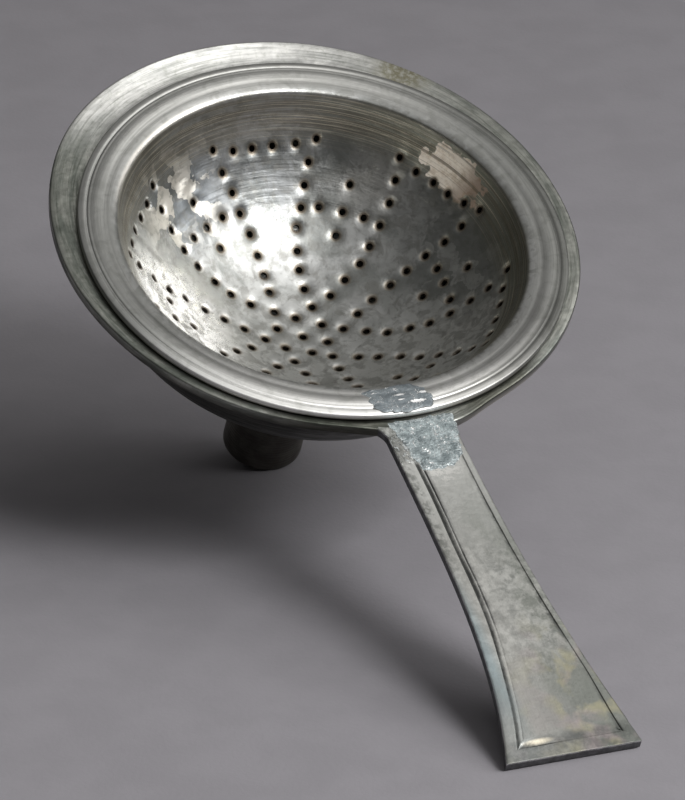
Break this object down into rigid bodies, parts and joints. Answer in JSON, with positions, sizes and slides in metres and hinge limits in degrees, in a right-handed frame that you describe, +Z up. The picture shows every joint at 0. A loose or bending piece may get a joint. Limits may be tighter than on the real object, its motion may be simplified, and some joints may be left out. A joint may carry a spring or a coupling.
{
  "type": "wine strainer",
  "caption": "Handled silver funnel with a flat rim and a spout, holding a loose round strainer bowl pierced in a petal pattern; it rests leaning on spout and handle.",
  "frame": {"origin": "on the floor, under the centre of the object's box, in its resting pose", "axes": "+X from the bowl towards the handle's end, +Z up, +Y across the handle"},
  "size_m": [0.177, 0.1098, 0.0862],
  "materials": {
    "worn_silver": "old silver, worn and brushed",
    "dark_silver": "old silver, tarnished dark",
    "pale_silver": "old silver with a pale mottled patina",
    "bright_silver": "old silver, polished and faintly hammered",
    "old_solder": "rough blue-grey lead solder"
  },
  "bodies": {
    "funnel": {"funnel_bowl": "worn_silver", "spout": "dark_silver", "handle": "pale_silver", "handle_solder_patch": "old_solder"},
    "strainer": {"strainer": "bright_silver", "strainer_solder_patch": "old_solder"}
  },
  "joints": [
    {"name": "strainer_lift", "type": "slide", "parent": "funnel", "child": "strainer", "axis": [0.4282, 0, 0.9037], "range_m": [0, 0.06]}
  ]
}
